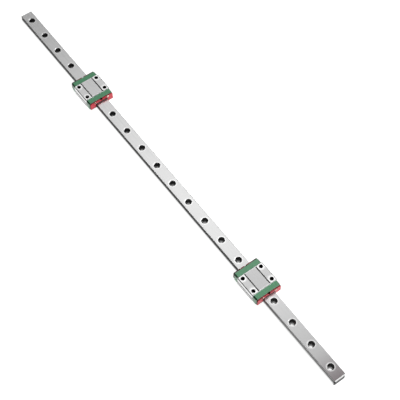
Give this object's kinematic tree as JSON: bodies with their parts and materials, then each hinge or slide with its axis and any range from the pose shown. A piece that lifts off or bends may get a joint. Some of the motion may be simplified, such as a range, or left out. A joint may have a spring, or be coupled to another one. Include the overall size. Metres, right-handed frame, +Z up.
{
  "type": "linear guide",
  "caption": "Miniature linear guide: a steel rail drilled for bolts, and sliding saddle carriages with recirculating balls, green end caps and red wiper seals.",
  "frame": {"origin": "middle of the rail's underside, half way along it", "axes": "+X along the rail, towards the carriage_b end; +Y across the rail; +Z up out of the mounting surface"},
  "size_m": [0.5, 0.027, 0.013],
  "materials": {
    "rail_steel": "ground and brushed along its length",
    "block_steel": "ground top, brushed across",
    "cap_green": "moulded, satin",
    "seal_red": "moulded, satin",
    "plate_steel": "stamped",
    "guide_plastic": "moulded",
    "ball_steel": "polished",
    "wire_steel": "drawn",
    "screw_steel": "plated, pale brass colour"
  },
  "bodies": {
    "rail": {"rail": "rail_steel"},
    "carriage_a": {"carriage_a_balls_left": "ball_steel", "carriage_a_balls_right": "ball_steel", "carriage_a_block": "block_steel", "carriage_a_cap_front": "cap_green", "carriage_a_cap_rear": "cap_green", "carriage_a_guide_front_left": "guide_plastic", "carriage_a_guide_front_right": "guide_plastic", "carriage_a_guide_rear_left": "guide_plastic", "carriage_a_guide_rear_right": "guide_plastic", "carriage_a_plate_front": "plate_steel", "carriage_a_plate_rear": "plate_steel", "carriage_a_screws": "screw_steel", "carriage_a_seal_front": "seal_red", "carriage_a_seal_rear": "seal_red", "carriage_a_wire_left": "wire_steel", "carriage_a_wire_right": "wire_steel"},
    "carriage_b": {"carriage_b_balls_left": "ball_steel", "carriage_b_balls_right": "ball_steel", "carriage_b_block": "block_steel", "carriage_b_cap_front": "cap_green", "carriage_b_cap_rear": "cap_green", "carriage_b_guide_front_left": "guide_plastic", "carriage_b_guide_front_right": "guide_plastic", "carriage_b_guide_rear_left": "guide_plastic", "carriage_b_guide_rear_right": "guide_plastic", "carriage_b_plate_front": "plate_steel", "carriage_b_plate_rear": "plate_steel", "carriage_b_screws": "screw_steel", "carriage_b_seal_front": "seal_red", "carriage_b_seal_rear": "seal_red", "carriage_b_wire_left": "wire_steel", "carriage_b_wire_right": "wire_steel"}
  },
  "joints": [
    {"name": "carriage_a_slide", "type": "slide", "parent": "rail", "child": "carriage_a", "axis": [1, 0, 0], "range_m": [-0.109, 0.1136]},
    {"name": "carriage_b_slide", "type": "slide", "parent": "rail", "child": "carriage_b", "axis": [1, 0, 0], "range_m": [-0.1136, 0.0935]}
  ]
}
